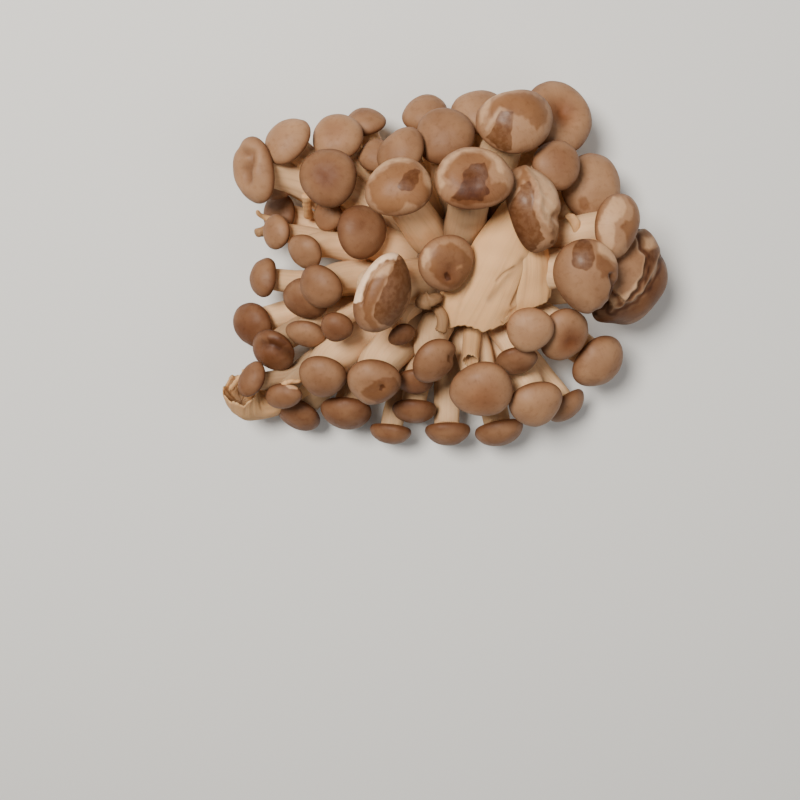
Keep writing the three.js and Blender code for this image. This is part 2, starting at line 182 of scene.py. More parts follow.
# Rows of points as more rows on a smooth curve: a cubic in each span, whose slope at a knot
# is that of the parabola through the knot and its neighbours.
def smoothAlong(rows, knots, at):
    slope = np.gradient(rows, knots, axis=0)
    span = np.clip(np.searchsorted(knots, at, side="right") - 1, 0, len(knots) - 2)
    width = (knots[span + 1] - knots[span])[:, None, None]
    s = (at - knots[span])[:, None, None] / width
    return (
        rows[span] * (1 + 2 * s) * (1 - s) ** 2
        + slope[span] * width * s * (1 - s) ** 2
        + rows[span + 1] * s * s * (3 - 2 * s)
        + slope[span + 1] * width * s * s * (s - 1)
    )


# Outward normals of a grid of points: the cross product of its two directions of travel
def gridNormals(grid):
    around = np.roll(grid, -1, axis=1) - np.roll(grid, 1, axis=1)
    onwards = np.gradient(grid, axis=0)
    normals = np.cross(onwards, around)
    return normals / np.maximum(np.linalg.norm(normals, axis=-1, keepdims=True), 1e-12)


# A closed skin: rows of points round a shape, with a fan of triangles to a pole at each end.
# Its faces are turned over if the volume they enclose comes out negative.
def closedSkin(rings, startPole, endPole, marks=None):
    rows, columns = rings.shape[:2]
    points = np.vstack([rings.reshape(-1, 3), startPole, endPole])
    row, column = np.mgrid[0:rows - 1, 0:columns]
    after = (column + 1) % columns
    quads = np.stack([
        row * columns + column, row * columns + after,
        (row + 1) * columns + after, (row + 1) * columns + column,
    ], -1).reshape(-1, 4)
    left, right = column / columns, (column + 1) / columns
    low, high = (row + 1) / (rows + 1), (row + 2) / (rows + 1)
    quadUv = np.stack([
        np.stack([left, low], -1), np.stack([right, low], -1),
        np.stack([right, high], -1), np.stack([left, high], -1),
    ], 2).reshape(-1, 4, 2)
    column = np.arange(columns)
    after = (column + 1) % columns
    lastRow = (rows - 1) * columns
    fans = np.vstack([
        np.stack([np.full(columns, rows * columns), after, column], 1),
        np.stack([np.full(columns, rows * columns + 1), lastRow + column, lastRow + after], 1),
    ])
    left, right = column / columns, (column + 1) / columns
    middle = (left + right) / 2
    edge = 1 / (rows + 1)
    ones = np.ones(columns)
    fanUv = np.vstack([
        np.stack([np.stack([middle, ones * 0], 1), np.stack([right, ones * edge], 1),
                  np.stack([left, ones * edge], 1)], 1),
        np.stack([np.stack([middle, ones], 1), np.stack([left, ones - edge], 1),
                  np.stack([right, ones - edge], 1)], 1),
    ])
    triangles = np.vstack([quads[:, [0, 1, 2]], quads[:, [0, 2, 3]], fans])
    a, b, c = (points[triangles[:, k]] - points[0] for k in range(3))
    if (a * np.cross(b, c)).sum() < 0:
        quads, quadUv = quads[:, ::-1], quadUv[:, ::-1]
        fans, fanUv = fans[:, ::-1], fanUv[:, ::-1]
    marks = {
        name: np.concatenate([values.reshape(-1), values[0].mean(keepdims=True), values[-1].mean(keepdims=True)])
        for name, values in (marks or {}).items()
    }
    return {"points": points, "quads": quads, "quadUv": quadUv, "fans": fans, "fanUv": fanUv, "marks": marks}


# One Blender piece from one or more closed skins, with a UV map and each mark as an attribute
def makePiece(name, skins, material, replaced, smooth=True):
    starts = np.cumsum([0] + [len(skin["points"]) for skin in skins])
    points = np.vstack([skin["points"] for skin in skins])
    quads = np.vstack([skin["quads"] + start for skin, start in zip(skins, starts)])
    fans = np.vstack([skin["fans"] + start for skin, start in zip(skins, starts)])
    corners = np.concatenate([quads.reshape(-1), fans.reshape(-1)])
    firsts = np.concatenate([np.arange(len(quads)) * 4, len(quads) * 4 + np.arange(len(fans)) * 3])
    mesh = bpy.data.meshes.new(name)
    mesh.vertices.add(len(points))
    mesh.vertices.foreach_set("co", points.astype(np.float32).reshape(-1))
    mesh.loops.add(len(corners))
    mesh.loops.foreach_set("vertex_index", corners.astype(np.int32))
    mesh.polygons.add(len(firsts))
    mesh.polygons.foreach_set("loop_start", firsts.astype(np.int32))
    uv = np.concatenate(
        [skin["quadUv"].reshape(-1, 2) for skin in skins] + [skin["fanUv"].reshape(-1, 2) for skin in skins]
    )
    mesh.uv_layers.new(name="UVMap").data.foreach_set("uv", uv.astype(np.float32).reshape(-1))
    for mark in skins[0]["marks"]:
        values = np.concatenate([skin["marks"][mark] for skin in skins]).astype(np.float32)
        mesh.attributes.new(mark, "FLOAT", "POINT").data.foreach_set("value", values)
    mesh.update(calc_edges=True)
    mesh.validate()
    mesh.polygons.foreach_set("use_smooth", np.full(len(mesh.polygons), smooth))
    mesh.materials.append(material)
    piece = bpy.data.objects.new(name, mesh)
    bpy.context.scene.collection.objects.link(piece)
    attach(piece, "root")
    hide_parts(replaced)
    return piece


# Shader building: a node with its settings and input values, and links by socket name

def addNode(tree, kind, inputs=None, **settings):
    node = tree.nodes.new(kind)
    for key, value in settings.items():
        setattr(node, key, value)
    for key, value in (inputs or {}).items():
        if isinstance(value, bpy.types.NodeSocket):
            tree.links.new(value, node.inputs[key])
        else:
            node.inputs[key].default_value = value
    return node


def doMath(tree, operation, a, b=0.0, clamp=False):
    return addNode(tree, "ShaderNodeMath", {0: a, 1: b}, operation=operation, use_clamp=clamp).outputs[0]


# A step from 0 to 1 as the value passes from low to high
def fade(tree, value, low, high):
    inputs = {"Value": value, "From Min": low, "From Max": high}
    return addNode(tree, "ShaderNodeMapRange", inputs, interpolation_type="SMOOTHSTEP").outputs["Result"]


def mixColour(tree, share, a, b, blend="MIX"):
    node = tree.nodes.new("ShaderNodeMix")
    node.data_type = "RGBA"
    node.blend_type = blend
    for socket, value in ((node.inputs["Factor"], share), (node.inputs[6], a), (node.inputs[7], b)):
        if isinstance(value, bpy.types.NodeSocket):
            tree.links.new(value, socket)
        else:
            socket.default_value = value
    return node.outputs[2]


def readMark(tree, name):
    return addNode(tree, "ShaderNodeAttribute", attribute_name=name).outputs["Fac"]


def newGroup(name, inputs, outputs):
    tree = bpy.data.node_groups.new(name, "ShaderNodeTree")
    for key, value in inputs.items():
        tree.interface.new_socket(key, in_out="INPUT", socket_type="NodeSocketFloat").default_value = value
    for key in outputs:
        tree.interface.new_socket(key, in_out="OUTPUT", socket_type="NodeSocketFloat")
    return tree, tree.nodes.new("NodeGroupInput").outputs, tree.nodes.new("NodeGroupOutput").inputs


# Fibres that run with a piece's own length: noise on a cylinder made from the UV map, so it
# meets itself where the map wraps. Around and Along are how many fibres fit each way.
def fibreGroup():
    tree, given, result = newGroup("fibres", {"Around": 12.0, "Along": 3.0, "Seed": 0.0}, ["Fibres", "Streaks"])
    uv = addNode(tree, "ShaderNodeSeparateXYZ", {0: addNode(tree, "ShaderNodeUVMap", uv_map="UVMap").outputs[0]})
    turn = doMath(tree, "MULTIPLY", uv.outputs["X"], 2 * math.pi)
    place = addNode(tree, "ShaderNodeCombineXYZ", {
        "X": doMath(tree, "MULTIPLY", doMath(tree, "COSINE", turn), given["Around"]),
        "Y": doMath(tree, "MULTIPLY", doMath(tree, "SINE", turn), given["Around"]),
        "Z": doMath(tree, "ADD", doMath(tree, "MULTIPLY", uv.outputs["Y"], given["Along"]), given["Seed"]),
    }).outputs[0]
    fine = addNode(tree, "ShaderNodeTexNoise", {"Vector": place, "Scale": 1.0, "Detail": 3.0, "Roughness": 0.6})
    broad = addNode(tree, "ShaderNodeTexNoise", {"Vector": place, "Scale": 0.25, "Detail": 2.0})
    tree.links.new(fine.outputs["Fac"], result["Fibres"])
    tree.links.new(broad.outputs["Fac"], result["Streaks"])
    return tree


# Mottling in space: broad clouds, small blotches and fine grain, by their size in millimetres
def mottleGroup():
    tree, given, result = newGroup("mottling", {"Clouds mm": 6.0, "Blotches mm": 1.5}, ["Clouds", "Blotches", "Grain"])
    place = addNode(tree, "ShaderNodeTexCoord").outputs["Object"]
    for key, size, detail in (("Clouds", given["Clouds mm"], 2.0), ("Blotches", given["Blotches mm"], 4.0)):
        scale = doMath(tree, "DIVIDE", 1 / mm, size)
        noise = addNode(tree, "ShaderNodeTexNoise", {"Vector": place, "Scale": scale, "Detail": detail})
        tree.links.new(noise.outputs["Fac"], result[key])
    grain = addNode(tree, "ShaderNodeTexNoise", {"Vector": place, "Scale": 5 / mm, "Detail": 2.0})
    tree.links.new(grain.outputs["Fac"], result["Grain"])
    return tree


fibres, mottling = fibreGroup(), mottleGroup()


def placeGroup(tree, group, **values):
    node = addNode(tree, "ShaderNodeGroup", node_tree=group)
    for key, value in values.items():
        node.inputs[key.replace("_", " ")].default_value = value
    return node.outputs


# A Principled surface with light spread a little way under it
def newMaterial(name, scatter, scatterDepth, sheen=0.0):
    material = bpy.data.materials.new(name)
    material.use_nodes = True
    tree = material.node_tree
    surface = tree.nodes["Principled BSDF"]
    surface.inputs["Subsurface Weight"].default_value = scatter
    surface.inputs["Subsurface Radius"].default_value = (1.0, 0.62, 0.4)
    surface.inputs["Subsurface Scale"].default_value = scatterDepth
    surface.inputs["Sheen Weight"].default_value = sheen
    surface.inputs["Specular IOR Level"].default_value = 0.22
    return material, tree, surface.inputs


def addBump(tree, surface, height, distance, strength=1.0):
    inputs = {"Height": height, "Distance": distance, "Strength": strength}
    tree.links.new(addNode(tree, "ShaderNodeBump", inputs).outputs[0], surface["Normal"])


# Cap skin: tan to brown by each cap's tone, darker at the crown, with painted shade towards the
# rim and in spots, marbled and finely streaked from crown to rim. Drawn marks lie on it: brown
# areas, pale areas, dark damp patches with a crisp edge and a soft gloss, thin pale streaks of
# painted highlight, and painted highlights and painted shadows at petal edges and folds.
capSkinColours = {
    "pale": (0.40, 0.225, 0.122, 1),
    "dark": (0.165, 0.070, 0.031, 1),
    # the darker crown and the spots of painted shade multiply by this
    "crown": (0.58, 0.38, 0.26, 1),
    # the colour that the painted shade towards each cap's rim multiplies by
    "rim": (0.48, 0.34, 0.25, 1),
    "brown": (0.66, 0.55, 0.45, 1),
    "wet": (0.40, 0.29, 0.20, 1),
    "light": (0.56, 0.34, 0.19, 1),
    # painted highlight, for the thin streaks and the lit inner edges of petals
    "paintedHighlight": (0.66, 0.45, 0.28, 1),
    "cream": (0.84, 0.58, 0.38, 1),
    "shadow": (0.30, 0.18, 0.11, 1),
    "fleck": (0.60, 0.50, 0.42, 1),
}


def capSkinMaterial():
    look = capSkinColours
    material, tree, surface = newMaterial("capSkin", 0.1, 1.0 * mm)
    share, tone, shadeAndHighlight = readMark(tree, "share"), readMark(tree, "tone"), readMark(tree, "shadeAndHighlight")
    spots = placeGroup(tree, mottling, Clouds_mm=7.0, Blotches_mm=1.3)
    lines = placeGroup(tree, fibres, Around=26.0, Along=2.2)
    wander = doMath(tree, "MULTIPLY", doMath(tree, "SUBTRACT", spots["Clouds"], 0.5), 0.9)
    skin = mixColour(tree, doMath(tree, "ADD", tone, wander, clamp=True), look["pale"], look["dark"])
    # Darker crown, which the caps have, and spots of painted shade
    skin = mixColour(tree, readMark(tree, "crownDarkAndShade"), skin, look["crown"], "MULTIPLY")
    pale = doMath(tree, "MULTIPLY", fade(tree, readMark(tree, "pale"), -0.02, 0.10), 0.75)
    skin = mixColour(tree, pale, skin, look["light"])
    # Painted shade: the skin darkens towards the rim, less so inside the pale marks
    rim = doMath(tree, "MULTIPLY", fade(tree, share, 0.70, 1.04), doMath(tree, "SUBTRACT", 0.8, pale))
    skin = mixColour(tree, doMath(tree, "MAXIMUM", rim, 0.0), skin, look["rim"], "MULTIPLY")
    skin = mixColour(tree, fade(tree, readMark(tree, "cream"), 0.0, 0.05), skin, look["cream"])
    brown = fade(tree, readMark(tree, "brown"), -0.03, 0.07)
    skin = mixColour(tree, brown, skin, look["brown"], "MULTIPLY")
    skin = mixColour(tree, doMath(tree, "MULTIPLY", fade(tree, spots["Blotches"], 0.5, 0.75), 0.35),
                     skin, look["fleck"], "MULTIPLY")
    skin = mixColour(tree, doMath(tree, "MULTIPLY", fade(tree, lines["Fibres"], 0.45, 0.8), 0.2),
                     skin, look["fleck"], "MULTIPLY")
    wet = fade(tree, readMark(tree, "wet"), 0.0, 0.05)
    soaked = doMath(tree, "SUBTRACT", 1.0, doMath(tree, "MULTIPLY", fade(tree, spots["Blotches"], 0.35, 0.7), 0.3))
    skin = mixColour(tree, doMath(tree, "MULTIPLY", wet, soaked), skin, look["wet"], "MULTIPLY")
    # Thin pale streaks of painted highlight along the drawn lines
    paintedHighlight = doMath(tree, "MULTIPLY", fade(tree, readMark(tree, "paintedHighlight"), 0.4, 1.0), 0.3)
    skin = mixColour(tree, paintedHighlight, skin, look["paintedHighlight"])
    # Painted highlight just inside each petal's edge, painted shadow outside it and in sunken folds
    skin = mixColour(tree, doMath(tree, "MAXIMUM", doMath(tree, "MULTIPLY", shadeAndHighlight, 0.3), 0.0), skin, look["paintedHighlight"])
    skin = mixColour(tree, doMath(tree, "MAXIMUM", doMath(tree, "MULTIPLY", shadeAndHighlight, -0.9), 0.0),
                     skin, look["shadow"], "MULTIPLY")
    tree.links.new(skin, surface["Base Color"])
    dry = doMath(tree, "ADD", 0.42, doMath(tree, "MULTIPLY", spots["Blotches"], 0.22))
    rough = addNode(tree, "ShaderNodeMix", {0: doMath(tree, "MAXIMUM", wet, brown), 2: dry, 3: 0.46}).outputs[0]
    tree.links.new(rough, surface["Roughness"])
    tree.links.new(doMath(tree, "MULTIPLY", wet, 0.06), surface["Coat Weight"])
    surface["Coat Roughness"].default_value = 0.2
    height = doMath(tree, "ADD", doMath(tree, "MULTIPLY", lines["Fibres"], 0.6),
                    doMath(tree, "ADD", spots["Blotches"], doMath(tree, "MULTIPLY", spots["Grain"], 0.35)))
    addBump(tree, surface, height, 0.09 * mm, 0.7)
    return material


# Flesh: cream with fibres along its length and tan clouds, darkened by a mark that holds real
# brown stains and painted shade, the painted shade deepening towards the base
fleshColours = {
    "cream": (0.75, 0.46, 0.235, 1),
    "tan": (0.42, 0.225, 0.108, 1),
    # the darkest flesh, for real stains and for painted shade
    "stainAndShade": (0.085, 0.042, 0.022, 1),
}


def fleshMaterial(name, around, along, tint=(1, 1, 1), streaks=1.0):
    look = fleshColours
    material, tree, surface = newMaterial(name, 0.2, 1.6 * mm)
    spots = placeGroup(tree, mottling, Clouds_mm=9.0, Blotches_mm=1.8)
    lines = placeGroup(tree, fibres, Around=around, Along=along)
    pale = tuple(channel * share for channel, share in zip(look["cream"], tint)) + (1,)
    skin = mixColour(tree, doMath(tree, "MULTIPLY", fade(tree, lines["Streaks"], 0.4, 0.8), 0.4 * streaks),
                     pale, look["tan"])
    skin = mixColour(tree, doMath(tree, "MULTIPLY", fade(tree, spots["Clouds"], 0.5, 0.85), 0.4),
                     skin, look["tan"])
    skin = mixColour(tree, doMath(tree, "MULTIPLY", fade(tree, lines["Fibres"], 0.5, 0.8), 0.2 * streaks),
                     skin, look["stainAndShade"])
    skin = mixColour(tree, readMark(tree, "stainAndShade"), skin, look["stainAndShade"])
    tree.links.new(skin, surface["Base Color"])
    tree.links.new(doMath(tree, "ADD", 0.5, doMath(tree, "MULTIPLY", lines["Fibres"], 0.3)), surface["Roughness"])
    height = doMath(tree, "ADD", lines["Fibres"], doMath(tree, "MULTIPLY", spots["Blotches"], 0.5))
    addBump(tree, surface, height, 0.2 * mm, 0.8 * streaks)
    return material


capSkin = capSkinMaterial()
stemFlesh = fleshMaterial("stemFlesh", 9.0, 2.0, tint=(1.0, 1.05, 1.15), streaks=0.8)
gillFlesh = fleshMaterial("gillFlesh", 40.0, 1.0, tint=(0.92, 0.92, 0.95))
tornFlesh = fleshMaterial("tornFlesh", 7.0, 1.6, tint=(0.97, 0.91, 0.84), streaks=0.85)
print("materials made")


# Caps: a finer skin through each CAD node's corners, with swells and drawn marks. Settings per
# cap: tone 0 pale to 1 dark, on the darkest front and left caps partly painted shade, crown (how
# dark its middle is), crownWidth, fine (mesh density).
# Places are pixels of the photograph, and box is the cap's left, top, right and bottom there;
# widths and heights are shares of the cap's radius. wet, brown, pale and cream are outlines and
# lines are thin pale streaks of painted highlight; folds have width, height and line, and a
# sunken fold gets painted shade; lumps have place, size and height, and spots of painted shade
# have place, size and how dark; petals have height and outline, and raise the skin inside it
# like a layer with a serrated edge, a painted highlight inside that edge and a painted shadow
# outside it. stem is how dark the cap's stem is: its own brown, and for stems deep in the
# cluster painted shade.
capLook = {
    "columns": 76,
    "domeRows": 24,
    "rimRows": 12,
    "swell": 0.022,
    "swellLength": 0.9,
    "tone": 0.4,
    "crown": 0.2,
    "crownWidth": 0.75,
    "fine": 1,
    "streakWidth": 0.16,
    "stem": 0.04,
}
capSettings = {
    "cap_far_left_1": {
        "tone": 0.3, "crown": 0.2, "box": [230, 141, 275, 202],
        "folds": [[0.16, -0.15, [[241, 154], [251, 155], [250, 163], [246, 172], [246, 181]]]],
    },
    "cap_far_left_2": {"tone": 0.2, "crown": 0.1},
    "cap_far_left_3": {"tone": 0.45, "crown": 0.1},
    "cap_far_left_4": {"tone": 0.75, "crown": 0.1},
    "cap_far_left_5": {"tone": 0.55, "crown": 0.2},
    "cap_far_left_6": {"tone": 0.6, "crown": 0.2},
    "cap_back_left_1": {"tone": 0.3, "crown": 0.5},
    "cap_back_left_2": {"tone": 0.8, "crown": 0.9, "crownWidth": 0.6},
    "cap_back_left_3": {"tone": 0.55, "crown": 0.3},
    "cap_back_left_4": {"tone": 0.65, "crown": 0.2},
    "cap_back_left_5": {"tone": 0.55, "crown": 0.1},
    "cap_back_left_6": {"tone": 0.5, "crown": 0.2},
    "cap_back_1": {"tone": 0.65, "crown": 0.1},
    "cap_back_2": {"tone": 0.3, "crown": 0.1},
    "cap_back_3": {
        "tone": 0.3, "crown": 0, "fine": 2, "stem": 0.4, "box": [475, 95, 553, 160],
        "wet": [[[501, 115], [514, 117], [513, 132], [512, 140], [513, 157], [505, 159], [493, 152],
                 [484, 144], [489, 136], [493, 130], [497, 120]]],
        "brown": [[[492, 105], [505, 100], [518, 98], [532, 99], [545, 104], [549, 117], [547, 128],
                   [537, 138], [528, 126], [515, 120], [502, 115], [493, 125], [488, 123], [490, 112]]],
        "pale": [[[478, 120], [483, 106], [495, 96], [512, 92], [530, 93], [520, 97], [505, 100],
                  [492, 105], [488, 118], [484, 130], [478, 133]]],
        "lines": [[[486, 135], [495, 121], [500, 114]]],
    },
    "cap_back_4": {"tone": 0.4, "crown": 1, "crownWidth": 0.6},
    "cap_back_5": {"tone": 0.65, "crown": 0.4},
    "cap_back_6": {
        "tone": 0.25, "crown": 0, "fine": 2, "stem": 0.45, "box": [432, 142, 507, 205],
        "wet": [[[458, 168], [467, 158], [480, 157], [483, 168], [482, 180], [485, 190], [477, 197],
                 [453, 197], [447, 193], [455, 183]]],
        "brown": [[[440, 172], [445, 160], [458, 148], [475, 147], [487, 157], [483, 168], [487, 177],
                   [498, 177], [503, 183], [498, 192], [487, 198], [463, 202], [443, 197], [452, 188],
                   [453, 182], [443, 175]]],
        "pale": [[[434, 185], [433, 170], [440, 155], [452, 146], [468, 142], [485, 147], [495, 155],
                  [500, 165], [497, 172], [491, 168], [487, 157], [475, 147], [458, 148], [445, 160],
                  [440, 172], [443, 178], [437, 190]]],
        "lumps": [[[468, 184], 0.45, -0.07]],
        "paintedShades": [[[467, 187], 0.5, 0.9]],
    },
    "cap_back_7": {
        "tone": 0.2, "crown": 0, "fine": 2, "stem": 0, "box": [367, 162, 432, 222],
        "wet": [[[405, 177], [415, 172], [420, 175], [419, 188], [412, 197], [402, 197], [397, 192], [402, 183]]],
        "brown": [[[378, 180], [393, 168], [415, 165], [422, 173], [425, 190], [430, 197], [427, 208],
                   [417, 213], [408, 207], [400, 218], [385, 220], [373, 207], [370, 190]]],
        "pale": [[[368, 183], [375, 172], [388, 163], [402, 161], [418, 164], [430, 175], [433, 190],
                  [430, 195], [425, 188], [422, 173], [415, 165], [393, 167], [378, 178], [372, 187]]],
    },
    "cap_right_1": {
        "tone": 0.3, "crown": 0, "fine": 2,
        "brown": [[[577, 200], [581, 195], [587, 197], [592, 203], [590, 209], [584, 212], [579, 208]]],
        "lumps": [[[589, 222], 0.3, 0.1]],
        "paintedShades": [[[588, 230], 0.35, 0.8]],
    },
    "cap_right_2": {
        "tone": 0.25, "crown": 0, "fine": 2, "box": [594, 196, 641, 268],
        "brown": [[[623, 196], [633, 201], [639, 214], [643, 238], [637, 252], [628, 257], [626, 242],
                   [620, 233], [626, 225], [632, 226], [633, 212]]],
        "pale": [[[596, 232], [603, 214], [613, 199], [622, 199], [628, 210], [625, 221], [616, 230],
                  [616, 250], [611, 264], [603, 256]]],
    },
    "cap_right_3": {
        "tone": 0.7, "crown": 0, "fine": 3, "box": [592, 243, 666, 334],
        "wet": [[[590, 297], [600, 303], [610, 303], [612, 312], [603, 320], [593, 327], [590, 313]],
                [[644, 262], [657, 262], [655, 283], [647, 297], [638, 303], [643, 285]]],
        "brown": [[[659, 273], [667, 273], [666, 293], [657, 313], [643, 325], [627, 332], [610, 334],
                   [595, 332], [598, 325], [620, 322], [637, 312], [652, 293]],
                  [[606, 268], [618, 266], [632, 250], [638, 248], [634, 262], [622, 272], [612, 286]]],
        "pale": [[[640, 252], [650, 250], [653, 260], [646, 268], [641, 262]],
                 [[606, 306], [622, 300], [634, 288], [632, 302], [620, 314], [608, 318]]],
        "lumps": [[[600, 311], 0.16, -0.12]],
        "petals": [[0.13, [[611, 273], [620, 265], [630, 253], [635, 252], [637, 263], [643, 270],
                           [642, 283], [635, 297], [623, 312], [613, 303], [608, 290]]],
                   [0.07, [[640, 242], [652, 243], [659, 250], [659, 267], [655, 283], [647, 297],
                           [635, 310], [620, 318], [610, 322], [606, 300], [610, 270], [630, 250]]]],
    },
    "cap_right_4": {
        "tone": 0.5, "crown": 0, "fine": 2, "box": [544, 237, 603, 308],
        "wet": [[[560, 258], [562, 245], [568, 235], [578, 238], [582, 250], [582, 262], [573, 268], [563, 265]]],
        "brown": [[[582, 250], [595, 257], [603, 267], [600, 278], [587, 273], [582, 262]]],
        "pale": [[[582, 237], [593, 240], [605, 253], [603, 263], [592, 255], [583, 249]]],
        "folds": [[0.07, -0.16, [[598, 272], [601, 283], [598, 292], [602, 306]]]],
        "lumps": [[[596, 303], 0.16, -0.16], [[585, 309], 0.12, -0.1]],
    },
    "cap_right_5": {"tone": 0.45, "crown": 1, "crownWidth": 0.7},
    "cap_right_6": {"tone": 0.5, "crown": 0.1},
    "cap_right_7": {"tone": 0.2, "crown": 0.1},
    "cap_right_8": {"tone": 0.75, "crown": 0.2},
    # Front caps: their darkest tones are partly painted shade over the front of the cluster
    "cap_front_1": {"tone": 0.4, "crown": 0.7, "crownWidth": 0.95},
    "cap_front_2": {"tone": 0.35, "crown": 0.1},
    "cap_front_3": {
        "tone": 0.7, "crown": 0.2, "stem": 0.25, "box": [413, 337, 456, 384],
        "wet": [[[447, 352], [452, 357], [450, 364], [446, 362]]],
        "lumps": [[[456, 357], 0.26, -0.16]],
    },
    "cap_front_4": {"tone": 0.95, "crown": 0.2, "stem": 0.4},
    "cap_front_5": {"tone": 1, "crown": 0.1},
    "cap_front_6": {
        "tone": 0.55, "crown": 0.1, "fine": 2, "box": [348, 357, 402, 405],
        "wet": [[[379, 385], [385, 383], [387, 387], [383, 391], [379, 390]]],
        "brown": [[[360, 392], [372, 382], [385, 376], [398, 376], [401, 388], [392, 398], [378, 403], [366, 398]]],
        "lumps": [[[382, 387], 0.12, -0.07]],
    },
    "cap_front_7": {"tone": 0.65, "crown": 0.2},
    "cap_front_8": {"tone": 0.95, "stem": 0.3},
    "cap_front_9": {"tone": 0.8, "stem": 0.25},
    "cap_front_10": {"tone": 0.9, "stem": 0.4},
    "cap_front_11": {"tone": 0.9, "stem": 0.5},
    "cap_front_12": {"tone": 0.7},
    "cap_front_13": {"tone": 0.8, "stem": 0.3},
    "cap_front_14": {"tone": 0.6},
    "cap_middle_1": {
        "tone": 0.4, "crown": 0, "fine": 2, "box": [349, 249, 414, 332],
        "wet": [[[398, 254], [409, 256], [416, 282], [408, 302], [403, 316], [392, 327], [376, 323],
                 [371, 314], [373, 304], [379, 292], [388, 273]]],
        "brown": [[[360, 284], [370, 276], [388, 273], [379, 292], [373, 304], [371, 314], [376, 323],
                   [385, 333], [370, 331], [362, 320], [357, 302]]],
        "cream": [[[343, 302], [343, 272], [352, 254], [372, 243], [402, 245], [398, 256], [388, 257],
                   [379, 261], [371, 268], [365, 278], [361, 290], [358, 302]]],
        "pale": [[[357, 288], [360, 276], [368, 265], [380, 257], [398, 254], [388, 273], [370, 276], [360, 284]]],
        "folds": [[0.06, -0.08, [[359, 302], [362, 290], [366, 279], [372, 269], [380, 262], [389, 258], [398, 257]]]],
    },
    "cap_middle_2": {
        "tone": 0.4, "crown": 0, "fine": 2, "box": [415, 241, 470, 293],
        "wet": [[[440, 277], [444, 275], [448, 278], [448, 283], [443, 285], [440, 282]]],
        "brown": [[[428, 258], [436, 251], [449, 248], [460, 253], [469, 263], [470, 277], [460, 287],
                   [447, 291], [436, 285], [426, 274]]],
        "paintedShades": [[[444, 279], 0.4, 0.6]],
        "pale": [[[417, 262], [421, 254], [429, 252], [428, 262], [421, 273], [418, 271]],
                 [[452, 270], [459, 267], [459, 272], [453, 274]]],
        "lumps": [[[444, 280], 0.12, -0.06]],
    },
    "cap_middle_3": {"tone": 0.9, "crown": 0.2},
    # Left caps: their darkest tones are partly painted shade, as on the front caps
    "cap_left_1": {"tone": 0.6, "crown": 0.2},
    "cap_left_2": {"tone": 0.8, "crown": 0.2},
    "cap_left_3": {"tone": 0.85, "crown": 0.3},
    "cap_left_4": {"tone": 0.75, "crown": 0.2},
    "cap_left_5": {"tone": 0.95, "crown": 0.6, "crownWidth": 0.95},
    "cap_left_6": {"tone": 0.6, "crown": 0.2, "stem": 0.3},
    "cap_left_7": {"tone": 0.95, "crown": 0.3, "stem": 0},
    "cap_left_8": {
        "tone": 1, "crown": 0.5, "crownWidth": 1, "stem": 0.5, "box": [255, 338, 297, 378],
        "brown": [[[268, 345], [283, 345], [290, 353], [282, 360], [270, 353]]],
        "folds": [[0.22, -0.16, [[263, 353], [275, 353], [285, 359], [297, 364]]]],
    },
    "cap_left_9": {"tone": 0.95, "crown": 0.1, "stem": 0.5},
    "cap_left_10": {
        "tone": 0.8, "crown": 0.1, "stem": 0.5, "box": [262, 380, 302, 415],
        "pale": [[[281, 382], [292, 381], [301, 384], [297, 389], [288, 388]]],
        "folds": [[0.08, 0.06, [[282, 384], [292, 382], [300, 386]]]],
    },
    "cap_on_torn_stem": {
        "tone": 0.25, "crown": 0, "fine": 2, "box": [502, 166, 562, 258],
        "wet": [[[506, 207], [515, 192], [522, 182], [528, 182], [533, 193], [533, 210], [537, 223],
                 [540, 230], [543, 242], [533, 257], [520, 257], [510, 248], [502, 232]],
                [[547, 241], [551, 241], [553, 244], [551, 248], [548, 248], [546, 245]]],
        "brown": [[[515, 180], [522, 168], [528, 180], [533, 193], [522, 182], [513, 193]]],
        "pale": [[[523, 168], [530, 167], [545, 177], [557, 190], [560, 203], [557, 215], [553, 222],
                  [545, 230], [540, 225], [537, 212], [535, 195], [530, 182]]],
        "paintedShades": [[[507, 240], 0.6, 0.7]],
        "lines": [[[527, 170], [540, 175], [549, 183], [557, 194]], [[538, 195], [549, 202], [555, 210]],
                  [[535, 203], [546, 212], [550, 216]], [[555, 222], [561, 232], [557, 245]]],
        "folds": [[0.13, 0.11, [[523, 170], [533, 185], [538, 200], [537, 213], [541, 224], [548, 232]]]],
        "lumps": [[[549, 244], 0.26, 0.1], [[558, 220], 0.18, -0.14]],
    },
}


# A cap's places and directions, all read from its CAD rings: axis from underside to crown,
# centre and radius from the rim, which is the third ring from the end.
def readCap(name):
    crown, rings, underside = capRings(name)
    axis = unit(crown - underside)
    rim = rings[-3]
    centre = rim.mean(0)
    along = unit(rim[0] - centre - axis * dot(rim[0] - centre, axis))
    return {
        "name": name, "crown": crown, "rings": rings, "underside": underside, "axis": axis,
        "centre": centre, "along": along, "across": np.cross(axis, along),
        "radius": math.sqrt(np.prod(np.linalg.norm(rim - centre, axis=1)[[0, len(rim) // 4]])),
    }


